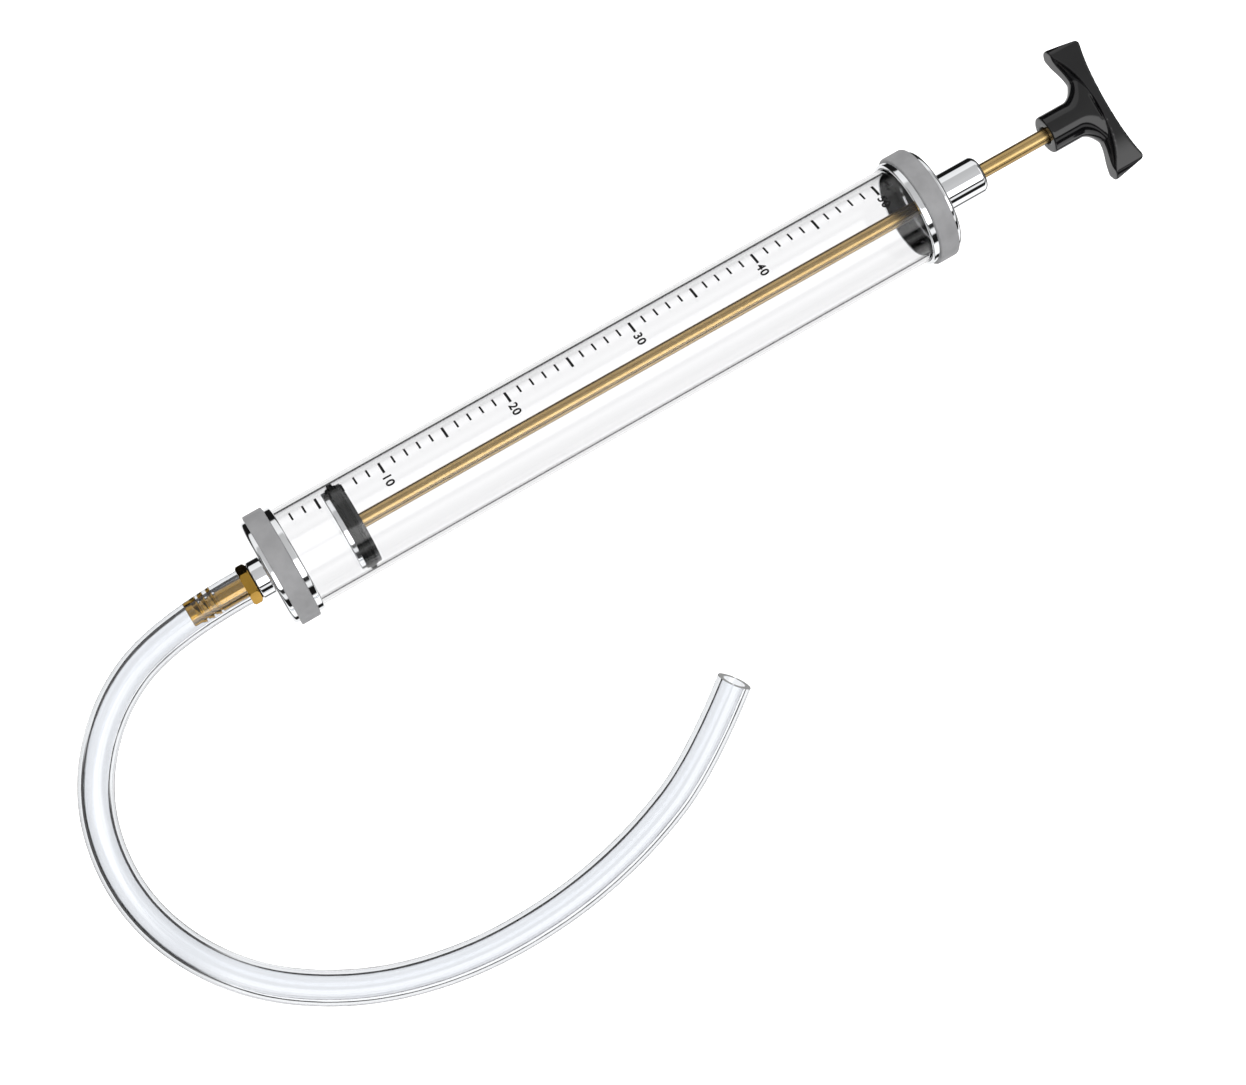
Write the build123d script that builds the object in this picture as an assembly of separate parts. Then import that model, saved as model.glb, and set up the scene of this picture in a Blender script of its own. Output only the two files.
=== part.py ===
from build123d import *
from math import cos, pi, radians, sqrt, tan
import os

os.makedirs("parts", exist_ok=True)

# Hand syringe for brine. X runs along the barrel towards the handle, Z is up, and the
# tool lies on a table (z = 0) on its two grip bands. All sizes are in millimetres.

# ---------------------------------------------------------------- driving dimensions
# barrel
tube_od = 49.5
tube_wall = 2.8
cap_pitch = 359.9        # outer face of the front cap to outer face of the rear cap

# end caps: a disc, a seat for the grip band and a lip, one behind the other
cap_wall = 1.35          # disc and seat, outside the socket for the tube
disc_width = 2.7
band_thickness = 2.0
band_width = 9.8
lip_height = 0.4         # lip above the band's seat
lip_width = 3.3
cap_floor = 3.6          # metal left between the socket and the outer face
gasket_thickness = 1.6
gasket_width = 7.75      # tube's outside to the gasket's hole
bumper_od = 30.0
bumper_thickness = 3.0

# hose connector
boss_od = 18.8
boss_length = 6.5
spigot_wall = 0.9        # wall of a threaded spigot round the bush
port_depth = 8.5
passage_d = 6.0
port_washer_thickness = 0.5
hex_across_flats = 17.0
hex_thickness = 4.8
barb_length = 28.0
barb_stem_gap = 0.4      # radial, stem to the hose's bore
barb_tip_gap = 0.7
barb_ridge_bite = 0.1    # radial, how far a ridge presses into the hose
barb_ridge_pitch = 3.8
barb_ridge_count = 3
barb_tip_length = 3.4

# hose
hose_od = 17.0
hose_id = 11.0
hose_mouth_bevel = 0.4   # lead-in round the bore at the open end

# rod guide behind the rear cap
guide_od = 18.5
guide_length = 26.4
bush_wall = 1.85
bush_length = 20.0

# plunger
rod_d = 7.3
rod_nose_d = 6.0
piston_station = 38.4    # front cap face to the piston's front face, as drawn
front_plate_gap = 1.85   # radial, plate to bore
front_plate_thickness = 2.9
seal_body_gap = 1.45
seal_thickness = 5.5
seal_lip_width = 2.3
rear_plate_gap = 1.7
rear_plate_thickness = 2.0
screw_d = 4.0
screw_head_d = 8.0
screw_length = 12.0

# handle
hub_stand_off = 37.65    # end of the guide to the face of the handle's hub, as drawn
hub_od = 18.8
handle_length = 36.0
bar_length = 70.6
bar_height = 19.0
insert_wall = 1.85
insert_length = 12.0

# clearances
running = 0.05           # radial, on what slides or turns
slack = 0.10             # radial, on what is assembled by hand
loose = 0.30             # radial, where two bodies only pass each other

# ---------------------------------------------------------------- derived sizes
tube_id = tube_od - 2 * tube_wall
disc_od = tube_od + 2 * (slack + cap_wall)
band_od = disc_od + 2 * band_thickness
lip_od = disc_od + 2 * lip_height
gasket_id = tube_od - 2 * gasket_width
bush_od = rod_d + 2 * bush_wall
insert_od = rod_d + 2 * insert_wall
port_d = bush_od + 4 * slack + 2 * spigot_wall
barb_stem_d = hose_id - 2 * barb_stem_gap
barb_tip_d = hose_id - 2 * barb_tip_gap
barb_ridge_d = hose_id + 2 * barb_ridge_bite
front_plate_od = tube_id - 2 * front_plate_gap
seal_body_d = tube_id - 2 * seal_body_gap
rear_plate_od = tube_id - 2 * rear_plate_gap
hub_length = handle_length - 22.0
cap_width = disc_width + band_width + lip_width
piston_length = front_plate_thickness + seal_thickness + rear_plate_thickness
axis_z = band_od / 2
overall = (barb_length + hex_thickness + port_washer_thickness + boss_length + cap_pitch
           + guide_length + hub_stand_off + handle_length)

# stations along X, from the hose end to the handle
x_tip = -overall / 2
x_hex = x_tip + barb_length
x_washer = x_hex + hex_thickness
x_boss = x_washer + port_washer_thickness
x_front = x_boss + boss_length
x_rear = x_front + cap_pitch
x_guide_end = x_rear + guide_length
x_hub = x_guide_end + hub_stand_off
x_piston = x_front + piston_station
x_front_floor = x_front + cap_floor
x_rear_floor = x_rear - cap_floor
x_tube_front = x_front_floor + gasket_thickness
x_tube_rear = x_rear_floor - gasket_thickness


# ---------------------------------------------------------------- small tools
def on_axis(shape):
    """Lift a shape drawn round the X axis up to the height of the barrel."""
    return Pos(0, 0, axis_z) * shape


def turned(points):
    """Solid of revolution about X from a closed outline of (x, radius) points."""
    outline = Polyline(*points, close=True)
    return revolve(make_face(outline), Axis.X, 360)


def ring(x0, x1, outer_d, inner_d, bevel=0.0):
    """Plain ring with all four corners bevelled by the same amount."""
    ro = outer_d / 2
    ri = inner_d / 2
    if bevel == 0:
        return turned([(x0, ri), (x1, ri), (x1, ro), (x0, ro)])
    return turned([
        (x0, ri + bevel), (x0 + bevel, ri), (x1 - bevel, ri), (x1, ri + bevel),
        (x1, ro - bevel), (x1 - bevel, ro), (x0 + bevel, ro), (x0, ro - bevel),
    ])


def rod(x0, x1, d):
    """Solid bar along X."""
    return turned([(x0, 0), (x1, 0), (x1, d / 2), (x0, d / 2)])


def hexagon_bar(x0, x1, across_flats):
    """Six-sided bar along X with one flat facing up."""
    section = RegularPolygon(across_flats / sqrt(3), 6, rotation=0)
    return extrude(Plane.YZ.offset(x0) * section, x1 - x0)


# ---------------------------------------------------------------- barrel
def barrel_tube():
    return ring(x_tube_front, x_tube_rear, tube_od, tube_id, bevel=0.4)


def cap_shell(x_face, inward):
    """End cap without its holes; inward is +1 when the socket opens towards +X."""
    socket_r = tube_od / 2 + slack
    bevel = 0.6
    steps = [
        (0, 0), (0, disc_od / 2 - bevel), (bevel, disc_od / 2),
        (disc_width + band_width, disc_od / 2),
        (disc_width + band_width, lip_od / 2 - bevel / 2),
        (disc_width + band_width + bevel / 2, lip_od / 2),
        (cap_width - bevel, lip_od / 2), (cap_width, lip_od / 2 - bevel),
        (cap_width, socket_r + bevel / 2), (cap_width - bevel / 2, socket_r),
        (cap_floor, socket_r), (cap_floor, 0),
    ]
    return turned([(x_face + inward * x, r) for x, r in steps])


def front_cap():
    """Front cap with the round boss that takes the hose connector."""
    boss = turned([
        (x_boss, 0), (x_boss, boss_od / 2 - 0.6), (x_boss + 0.6, boss_od / 2),
        (x_front + 1, boss_od / 2), (x_front + 1, 0),
    ])
    port = rod(x_boss - 1, x_boss + port_depth, port_d)
    passage = rod(x_boss, x_front_floor + 1, passage_d + 2)
    return cap_shell(x_front, 1) + boss - port - passage


def rear_cap():
    return cap_shell(x_rear, -1) - rod(x_rear_floor - 1, x_rear + 1, port_d)


def grip_band(x_face, inward):
    """Satin ring pushed over the cap's seat up to the lip."""
    near = x_face + inward * disc_width
    far = near + inward * band_width
    return ring(min(near, far), max(near, far), band_od, disc_od, bevel=0.5)


def gasket(x0):
    """Flat rubber ring between a tube end and the floor of its cap."""
    return ring(x0, x0 + gasket_thickness, tube_od, gasket_id)


def rear_bumper():
    """Rubber ring on the rear cap's floor; the piston stops against it."""
    x0 = x_rear_floor - bumper_thickness
    return ring(x0, x_rear_floor, bumper_od, rod_d + 4 * loose, bevel=0.5)


# ---------------------------------------------------------------- rod guide
def rod_guide():
    """Round neck screwed into the rear cap; its rear rim is well rounded."""
    body = rod(x_rear, x_guide_end, guide_od)
    rim = body.edges().filter_by(GeomType.CIRCLE).sort_by(Axis.X)[-1]
    body = fillet(rim, 2.4)
    spigot = rod(x_rear_floor, x_rear, port_d - 2 * slack)
    bush_seat = rod(x_rear_floor - 1, x_rear_floor + bush_length, bush_od + 2 * slack)
    rod_hole = rod(x_rear, x_guide_end + 1, rod_d + 2 * loose)
    return body + spigot - bush_seat - rod_hole


def rod_bush():
    """Plain bush that carries the rod inside the guide."""
    end = x_rear_floor + bush_length
    return ring(x_rear_floor, end, bush_od, rod_d + 2 * running, bevel=0.3)


# ---------------------------------------------------------------- hose connector
def barb_outline():
    """(x, radius) points of the barb from its tip to the collar."""
    tip_r = barb_tip_d / 2
    ridge_r = barb_ridge_d / 2
    points = [(x_tip, 0), (x_tip, tip_r - 0.5), (x_tip + 0.5, tip_r)]
    x = x_tip + barb_tip_length
    for _ in range(barb_ridge_count):
        points += [(x, tip_r), (x + 2.4, ridge_r), (x + 2.8, ridge_r), (x + 2.9, tip_r)]
        x += barb_ridge_pitch
    points += [(x, tip_r), (x, barb_stem_d / 2), (x_hex, barb_stem_d / 2), (x_hex, 0)]
    return points


def hose_barb():
    """Brass connector: barbed tail, six-sided collar and threaded spigot."""
    collar = hexagon_bar(x_hex, x_washer, hex_across_flats)
    corner_r = hex_across_flats / sqrt(3)
    bevel = 0.9
    collar &= turned([
        (x_hex, 0), (x_hex, corner_r - bevel), (x_hex + bevel, corner_r),
        (x_washer - bevel, corner_r), (x_washer, corner_r - bevel), (x_washer, 0),
    ])
    spigot = rod(x_washer, x_boss + port_depth - 0.5, port_d - 2 * slack)
    bore = rod(x_tip - 1, x_boss + port_depth + 1, passage_d)
    return turned(barb_outline()) + collar + spigot - bore


def port_washer():
    return ring(x_washer, x_boss, boss_od - 2.0, port_d)


# ---------------------------------------------------------------- hose
# The hose leaves the connector level with the barrel, swings round in a wide loop and
# settles on the table; the last run lifts a little. Corner points of its centre line.
# x is measured from the connector's collar, so the hose follows the connector.
hose_rest_z = hose_od / 2
hose_route = [
    (0.0, 0.0, axis_z),
    (-42.125, 0.0, axis_z),
    (-83.125, -18.5, 24.5),
    (-111.625, -56.0, 15.0),
    (-116.125, -106.5, hose_rest_z),
    (-92.625, -154.0, hose_rest_z),
    (-49.625, -186.0, hose_rest_z),
    (0.375, -201.5, hose_rest_z),
    (52.875, -203.0, hose_rest_z),
    (101.375, -194.0, hose_rest_z),
    (144.375, -176.5, hose_rest_z),
    (176.375, -151.0, 14.0),
]


def hose_path():
    """Centre line: straight runs joined by arcs tangent to both neighbours."""
    points = [Vector(x_hex + x, y, z) for x, y, z in hose_route]
    runs = [(b - a) for a, b in zip(points, points[1:])]
    radii = []
    for before, after in zip(runs, runs[1:]):
        half_turn = radians(before.get_angle(after)) / 2
        shorter = min(before.length, after.length)
        radii.append(0.45 * shorter / tan(half_turn))
    print("hose bend radii", [round(r, 1) for r in radii])
    return FilletPolyline(*points, radius=radii)


def hose():
    path = hose_path()
    start = Plane(origin=path @ 0, z_dir=path % 0)
    wall = start * (Circle(hose_od / 2) - Circle(hose_id / 2))
    body = sweep(wall, path=path)
    mouth = Plane(origin=path @ 1, z_dir=-(path % 1)) * Pos(0, 0, hose_mouth_bevel / 2)
    bore_r = hose_id / 2
    body -= mouth * Cone(bore_r + hose_mouth_bevel, bore_r, hose_mouth_bevel)
    section = pi * (hose_od ** 2 - hose_id ** 2) / 4
    print("hose length", round(path.length, 1), "volume", round(body.volume, 1),
          "section x length", round(section * path.length, 1))
    return body


# ---------------------------------------------------------------- plunger
x_seal = x_piston + front_plate_thickness
x_rear_plate = x_seal + seal_thickness
x_shoulder = x_rear_plate + rear_plate_thickness
screw_head_depth = (screw_head_d - screw_d) / 2
x_nose = x_piston + screw_head_depth + running


def plunger_rod():
    """Rod with a turned-down nose for the piston and a blunt end inside the handle."""
    x_end = x_hub + 3.0 + insert_length
    bevel = 0.6
    body = turned([
        (x_nose, 0), (x_nose, rod_nose_d / 2), (x_shoulder, rod_nose_d / 2),
        (x_shoulder, rod_d / 2), (x_end - bevel, rod_d / 2),
        (x_end, rod_d / 2 - bevel), (x_end, 0),
    ])
    return body - rod(x_nose - 1, x_piston + screw_length + 1, screw_d)


def piston_screw():
    """Countersunk screw with a hexagon socket, flush in the front plate."""
    r = screw_d / 2
    head_r = screw_head_d / 2
    body = turned([
        (x_piston, 0), (x_piston, head_r), (x_piston + screw_head_depth, r),
        (x_piston + screw_length, r), (x_piston + screw_length, 0),
    ])
    return body - hexagon_bar(x_piston - 1, x_piston + 1.6, 2.5)


def piston_front_plate():
    """Front plate with a rounded rim and a countersink."""
    body = rod(x_piston, x_seal, front_plate_od)
    rims = body.edges().filter_by(GeomType.CIRCLE)
    body = fillet(rims, 0.6)
    hole = rod(x_piston - 1, x_seal + 1, rod_nose_d + 2 * running)
    sink_r = screw_head_d / 2 + running
    sink = turned([
        (x_piston - 0.5, 0), (x_piston - 0.5, sink_r + 0.5),
        (x_piston + screw_head_depth, sink_r - screw_head_depth),
        (x_piston + screw_head_depth, 0),
    ])
    return body - hole - sink


def piston_seal():
    """Rubber disc with a narrow lip that wipes the bore."""
    body_r = seal_body_d / 2
    lip_r = tube_id / 2 - running
    x_mid = x_seal + seal_thickness / 2
    half = seal_lip_width / 2
    bore_r = rod_nose_d / 2 + loose
    return turned([
        (x_seal, bore_r), (x_rear_plate, bore_r),
        (x_rear_plate, body_r - 0.8), (x_rear_plate - 0.8, body_r),
        (x_mid + half + 0.3, body_r), (x_mid + half, lip_r),
        (x_mid - half, lip_r), (x_mid - half - 0.3, body_r),
        (x_seal + 0.8, body_r), (x_seal, body_r - 0.8),
    ])


def piston_rear_plate():
    body = rod(x_rear_plate, x_shoulder, rear_plate_od)
    body = fillet(body.edges().filter_by(GeomType.CIRCLE), 0.6)
    return body - rod(x_rear_plate - 1, x_shoulder + 1, rod_nose_d + 2 * running)


# ---------------------------------------------------------------- handle
# Cross-bar shape as functions of y, the distance out from the rod; the shape keeps its
# character when the bar's length, height or the handle's length is changed. x is measured
# from the face of the hub. The bar is waisted in front, domed on top, hollowed behind.
def share(y):
    """Distance out along the bar, as if the bar were 70.6 long."""
    return 70.6 * abs(y) / bar_length


def bar_front(y):
    """Front face: level across the neck, sweeping forward towards both ends."""
    along = min(max((share(y) - 14.0) / 19.0, 0.0), 1.0)
    return handle_length - 14.8 + 1.6 * cos(pi * along)


def bar_crease(y):
    """Front edge of the domed top face."""
    out = share(y)
    return max(handle_length - 8.9 - 0.0054 * out ** 2 - 2.4e-6 * out ** 4,
               bar_front(y) + 0.7)


def bar_rear(y):
    return handle_length - 3.6 + 0.0036 * share(y) ** 2


def bar_top(y):
    """Half the height of the bar behind the crease."""
    return bar_height / 2 - 0.0037 * share(y) ** 2


def bar_nose_half(y):
    """Half the height of the bar's blunt front edge."""
    return min(2.7 + 0.0022 * share(y) ** 2, bar_top(y) - 0.7)


def bar_section(y):
    """Section of the cross-bar: blunt nose, hollow flanks, flat top and rear."""
    front = x_hub + bar_front(y)
    crease = x_hub + bar_crease(y)
    rear = x_hub + bar_rear(y)
    nose = bar_nose_half(y)
    top = bar_top(y)
    mid_x = front + 0.66 * (crease - front)
    mid_z = nose + 0.34 * (top - nose)
    edges = [
        Line((front, y, -nose), (front, y, nose)),
        ThreePointArc((front, y, nose), (mid_x, y, mid_z), (crease, y, top)),
        Line((crease, y, top), (rear, y, top)),
        Line((rear, y, top), (rear, y, -top)),
        Line((rear, y, -top), (crease, y, -top)),
        ThreePointArc((crease, y, -top), (mid_x, y, -mid_z), (front, y, -nose)),
    ]
    return make_face(Wire(edges))


def cross_bar():
    half = bar_length / 2
    stations = [half * k / 6 for k in range(-6, 7)]
    body = loft([bar_section(y) for y in stations])
    # plan outline: slanted ends with rounded corners
    x_back = x_hub + handle_length
    x0 = x_back - 26
    corners = [
        (x0, -half), (x_back - 16, -half), (x_back - 1, -half + 2.9),
        (x_back + 4, -half + 6), (x_back + 4, half - 6),
        (x_back - 1, half - 2.9), (x_back - 16, half), (x0, half),
    ]
    plan = make_face(Polyline(*corners, close=True))
    body &= extrude(Plane.XY.offset(-15) * plan, 30)
    # ends rounded over, seen along X
    end_run = 6.6
    side = Rectangle(bar_length - 2 * end_run, 30)
    for sign in (-1, 1):
        side += Pos(sign * (half - end_run), 0) * Ellipse(end_run, bar_top(half - end_run))
    body &= extrude(Plane.YZ.offset(x0) * side, 40)
    return body


def flare():
    """Neck that spreads from the round hub out into the arms of the bar."""
    hub_r = hub_od / 2
    spread = [
        (3.0, hub_r + 0.4, hub_r - 0.02), (5.0, hub_r + 1.6, hub_r - 0.05),
        (7.0, hub_r + 3.9, hub_r - 0.1), (9.0, hub_r + 7.6, hub_r - 0.15),
        (12.0, hub_r + 11.0, hub_r - 0.2),
    ]
    sections = [Plane.YZ.offset(x_hub + hub_length) * Circle(hub_r)]
    for x, across, up in spread:
        section = Ellipse(across, up)
        sections.append(Plane.YZ.offset(x_hub + hub_length + x) * section)
    return loft(sections)


def handle():
    hub = rod(x_hub, x_hub + hub_length, hub_od)
    rim = hub.edges().filter_by(GeomType.CIRCLE).sort_by(Axis.X)[0]
    hub = fillet(rim, 0.6)
    body = hub + flare() + cross_bar()
    mouth = rod(x_hub - 1, x_hub + 1.5, rod_d + 1.4)
    hole = rod(x_hub - 1, x_hub + 3.5 + insert_length, rod_d + 2 * slack)
    pocket = rod(x_hub + 3, x_hub + 3 + insert_length, insert_od)
    return body - mouth - hole - pocket


def handle_insert():
    """Ribbed brass sleeve moulded into the hub, threaded on to the rod."""
    x0 = x_hub + 3
    return ring(x0, x0 + insert_length, insert_od, rod_d)


# ---------------------------------------------------------------- write the parts
nodes = {
    "barrel_tube": barrel_tube,
    "front_cap": front_cap,
    "front_grip_band": lambda: grip_band(x_front, 1),
    "front_gasket": lambda: gasket(x_front_floor),
    "rear_cap": rear_cap,
    "rear_grip_band": lambda: grip_band(x_rear, -1),
    "rear_gasket": lambda: gasket(x_tube_rear),
    "rear_bumper": rear_bumper,
    "rod_guide": rod_guide,
    "rod_bush": rod_bush,
    "hose_barb": hose_barb,
    "port_washer": port_washer,
    "plunger_rod": plunger_rod,
    "piston_screw": piston_screw,
    "piston_front_plate": piston_front_plate,
    "piston_seal": piston_seal,
    "piston_rear_plate": piston_rear_plate,
    "handle": handle,
    "handle_insert": handle_insert,
}

for name, make in nodes.items():
    export_step(on_axis(make()), f"parts/{name}.step")

export_step(hose(), "parts/hose.step")
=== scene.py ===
# %% [markdown]
# # A brine syringe, finished in Blender
# The tool is a large hand syringe for brine: a clear graduated barrel between two metal
# caps, a long rod with a T-handle, and a clear hose pushed over a barbed outlet. The CAD
# model gives every piece its true size and place. This script loads it, rebuilds the
# pieces whose surface matters most, gives each piece its finish, and lights the set.

# %% Load the frame
import math

import bmesh
import bpy
from mathutils import Matrix, Vector


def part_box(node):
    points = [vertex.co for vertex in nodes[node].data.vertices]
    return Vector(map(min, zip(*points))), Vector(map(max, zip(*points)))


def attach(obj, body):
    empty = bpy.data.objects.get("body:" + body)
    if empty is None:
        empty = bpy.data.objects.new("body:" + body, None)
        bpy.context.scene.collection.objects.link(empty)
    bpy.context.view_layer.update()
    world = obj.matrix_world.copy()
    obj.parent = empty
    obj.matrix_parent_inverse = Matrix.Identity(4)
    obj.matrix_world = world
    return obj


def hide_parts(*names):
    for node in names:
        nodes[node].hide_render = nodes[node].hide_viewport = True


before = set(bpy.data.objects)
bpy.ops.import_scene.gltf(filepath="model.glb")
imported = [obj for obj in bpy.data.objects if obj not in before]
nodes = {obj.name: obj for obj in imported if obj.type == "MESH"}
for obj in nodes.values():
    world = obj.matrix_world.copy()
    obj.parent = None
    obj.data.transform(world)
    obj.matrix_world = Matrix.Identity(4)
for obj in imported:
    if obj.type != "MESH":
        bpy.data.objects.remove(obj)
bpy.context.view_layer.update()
MM = 0.001
print("pieces from the CAD model:", len(nodes))


# %% [markdown]
# ## Where things are
# Most places are read from the CAD nodes, so a changed size moves the finish with it.
# What a box can't show is written here again: bores, bevels, the collar's far face, the
# hose's route and the spacing of the scale.

# %% Places along the barrel
def span(node):
    """Where a node starts and ends along the barrel, in metres."""
    low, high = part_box(node)
    return low.x, high.x


def radius_of(node):
    """Half of a round node's height, in metres."""
    low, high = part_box(node)
    return (high.z - low.z) / 2


def new_object(name, data):
    """An object that holds some data, linked into the scene."""
    obj = bpy.data.objects.new(name, data)
    bpy.context.scene.collection.objects.link(obj)
    return obj


def mesh_from(bm, name):
    """Write a bmesh out as a mesh, and let the bmesh go."""
    mesh = bpy.data.meshes.new(name)
    bm.to_mesh(mesh)
    bm.free()
    return mesh


band_low, band_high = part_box("front_grip_band")
axis_z = (band_low.z + band_high.z) / 2
tube_x0, tube_x1 = span("barrel_tube")
tube_r = radius_of("barrel_tube")
bore_r = radius_of("piston_seal") + 0.05 * MM
print("tube radius mm", round(tube_r / MM, 2), "bore radius mm", round(bore_r / MM, 2))
print("axis height mm", round(axis_z / MM, 2))


# %% [markdown]
# ## Camera
# The tool is seen almost from straight above, a little from the hose end, with the
# barrel climbing to the upper right. A camera needs a place, a point to look at and a
# roll about its line of sight; from those three the whole matrix follows.

# %% Camera
def look_at(place, aim, roll):
    """Camera matrix: at place, looking at aim, rolled about its own line of sight."""
    back = (place - aim).normalized()
    right = Vector((0, 1, 0)).cross(back).normalized()
    up = back.cross(right)
    m = Matrix((right, up, back)).transposed().to_4x4()
    m = Matrix.Rotation(roll, 4, back) @ m
    m.translation = place
    return m


camera_place = Vector((-0.22342, -0.06970, 1.24850))
camera_aim = Vector((-0.05668, -0.06832, 0.0))
camera_roll = math.radians(-29.83)
cam_data = bpy.data.cameras.new("camera")
cam_data.lens = 76.6
cam_data.sensor_width = 36.0
camera = new_object("camera", cam_data)
camera.matrix_world = look_at(camera_place, camera_aim, camera_roll)
bpy.context.scene.camera = camera
print("camera height mm", round(camera_place.z / MM))


# %% [markdown]
# ## Helpers for materials
# Every finish here is built from nodes on the piece's own coordinates, so it stays on
# the piece when the piece moves. A few small helpers keep the node code short.

# %% Node helpers
def start_material(name):
    """A material with its node tree and its Principled shader."""
    mat = bpy.data.materials.new(name)
    mat.use_nodes = True
    tree = mat.node_tree
    return mat, tree, tree.nodes["Principled BSDF"]


def set_shader(shader, **values):
    """Plain numbers and colours go straight on the shader's own sockets."""
    for key, value in values.items():
        shader.inputs[key.replace("_", " ")].default_value = value


def add_node(tree, kind, **settings):
    """A node; each setting goes on the socket of that name, or else on the node."""
    node = tree.nodes.new(kind)
    for key, value in settings.items():
        if key in node.inputs:
            node.inputs[key].default_value = value
        else:
            setattr(node, key, value)
    return node


def feed(tree, sockets, values):
    """Give each socket a plain number, or a link from another node's socket."""
    for socket, value in zip(sockets, values):
        if isinstance(value, (int, float)):
            socket.default_value = value
        elif value is not None:
            tree.links.new(value, socket)


def maths(tree, operation, a, b=None):
    """The result of one sum, from numbers or from other nodes' sockets."""
    node = add_node(tree, "ShaderNodeMath", operation=operation)
    feed(tree, node.inputs, (a, b))
    return node.outputs[0]


def either_shader(tree, choice, if_no, if_yes):
    """One shader where the choice is 0 and the other where it is 1."""
    mix = add_node(tree, "ShaderNodeMixShader")
    feed(tree, mix.inputs, (choice, if_no, if_yes))
    return mix.outputs[0]


def stretched_noise(tree, stretch, scale, detail=4.0, coords="Object"):
    """Noise on the piece's own coordinates; stretch squeezes it along each axis."""
    where = add_node(tree, "ShaderNodeTexCoord")
    mapping = add_node(tree, "ShaderNodeMapping")
    mapping.inputs["Scale"].default_value = stretch
    noise = add_node(tree, "ShaderNodeTexNoise", Scale=scale, Detail=detail)
    tree.links.new(where.outputs[coords], mapping.inputs["Vector"])
    tree.links.new(mapping.outputs["Vector"], noise.inputs["Vector"])
    return noise


def drive_range(tree, source, low, high, target):
    """Lay a 0 to 1 pattern out between two numbers and feed it to a socket."""
    fit = add_node(tree, "ShaderNodeMapRange")
    fit.inputs["To Min"].default_value = low
    fit.inputs["To Max"].default_value = high
    tree.links.new(source, fit.inputs["Value"])
    tree.links.new(fit.outputs["Result"], target)


def drive_colour(tree, source, dark, light, target):
    """Lay a 0 to 1 pattern out between two colours and feed it to a socket."""
    ramp = add_node(tree, "ShaderNodeValToRGB")
    ramp.color_ramp.elements[0].position = 0.3
    ramp.color_ramp.elements[1].position = 0.7
    ramp.color_ramp.elements[0].color = (*dark, 1)
    ramp.color_ramp.elements[1].color = (*light, 1)
    tree.links.new(source, ramp.inputs["Fac"])
    tree.links.new(ramp.outputs["Color"], target)


def drive_bump(tree, source, shader, depth, strength=1.0):
    """A relief of the given depth in metres."""
    bump = add_node(tree, "ShaderNodeBump", Strength=strength, Distance=depth)
    tree.links.new(source, bump.inputs["Height"])
    tree.links.new(bump.outputs["Normal"], shader.inputs["Normal"])


# %% [markdown]
# ## Metal finishes
# Chrome is a mirror: almost no colour of its own, so its look is the room it stands in.
# A trace of roughness and a very shallow waviness keep it from looking like a formula.

# %% Chrome
def make_chrome():
    mat, tree, shader = start_material("polished_chrome")
    set_shader(shader, Base_Color=(0.86, 0.87, 0.885, 1), Metallic=1.0)
    noise = stretched_noise(tree, (1, 1, 1), 90.0)
    drive_range(tree, noise.outputs["Fac"], 0.025, 0.07, shader.inputs["Roughness"])
    drive_bump(tree, noise.outputs["Fac"], shader, 0.004 * MM)
    return mat


chrome = make_chrome()
print("made", chrome.name)


# %% [markdown]
# The grip bands are blasted and then brushed round: a soft grey with fine lines round
# the ring. The lines come from noise squeezed hard along the barrel.

# %% Satin metal
def make_satin():
    mat, tree, shader = start_material("satin_band")
    set_shader(shader, Metallic=0.30, IOR=1.35)
    lines = stretched_noise(tree, (6000, 60, 60), 1.0, 2.0)
    cloud = stretched_noise(tree, (1, 1, 1), 120.0, 3.0)
    drive_colour(tree, cloud.outputs["Fac"], (0.225, 0.225, 0.23), (0.27, 0.27, 0.275),
                 shader.inputs["Base Color"])
    drive_range(tree, lines.outputs["Fac"], 0.48, 0.62, shader.inputs["Roughness"])
    drive_bump(tree, lines.outputs["Fac"], shader, 0.02 * MM, 0.6)
    return mat


satin = make_satin()
print("made", satin.name)


# %% [markdown]
# Brass comes in two finishes: the turned connector is dark and glossy with tool marks
# round it, and the drawn rod is paler with fine lines along its length.

# %% Brass
def make_brass(name, dark, light, stretch, rough, depth):
    mat, tree, shader = start_material(name)
    set_shader(shader, Metallic=1.0)
    marks = stretched_noise(tree, stretch, 1.0, 2.0)
    cloud = stretched_noise(tree, (1, 1, 1), 70.0, 3.0)
    drive_colour(tree, cloud.outputs["Fac"], dark, light, shader.inputs["Base Color"])
    drive_range(tree, marks.outputs["Fac"], *rough, shader.inputs["Roughness"])
    drive_bump(tree, marks.outputs["Fac"], shader, depth, 0.7)
    return mat


turned_brass = make_brass("turned_brass", (0.38, 0.215, 0.034), (0.50, 0.290, 0.052),
                          (5000, 40, 40), (0.10, 0.20), 0.006 * MM)
rod_brass = make_brass("drawn_brass", (0.46, 0.315, 0.130), (0.54, 0.380, 0.165),
                       (8, 2600, 2600), (0.20, 0.34), 0.010 * MM)
print("made", turned_brass.name, "and", rod_brass.name)


# %% [markdown]
# ## Plastic and rubber
# The handle is glossy black moulding: dark, sharp reflections and a faint orange peel.
# The seal is black rubber: no sheen to speak of, and a fine grain.

# %% Plastics and rubber
def make_plastic(name, colour, rough, ior, grain, depth):
    mat, tree, shader = start_material(name)
    set_shader(shader, IOR=ior)
    noise = stretched_noise(tree, (1, 1, 1), grain)
    paler = tuple(c * 1.35 + 0.001 for c in colour)
    drive_colour(tree, noise.outputs["Fac"], colour, paler, shader.inputs["Base Color"])
    drive_range(tree, noise.outputs["Fac"], *rough, shader.inputs["Roughness"])
    drive_bump(tree, noise.outputs["Fac"], shader, depth)
    return mat


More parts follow.
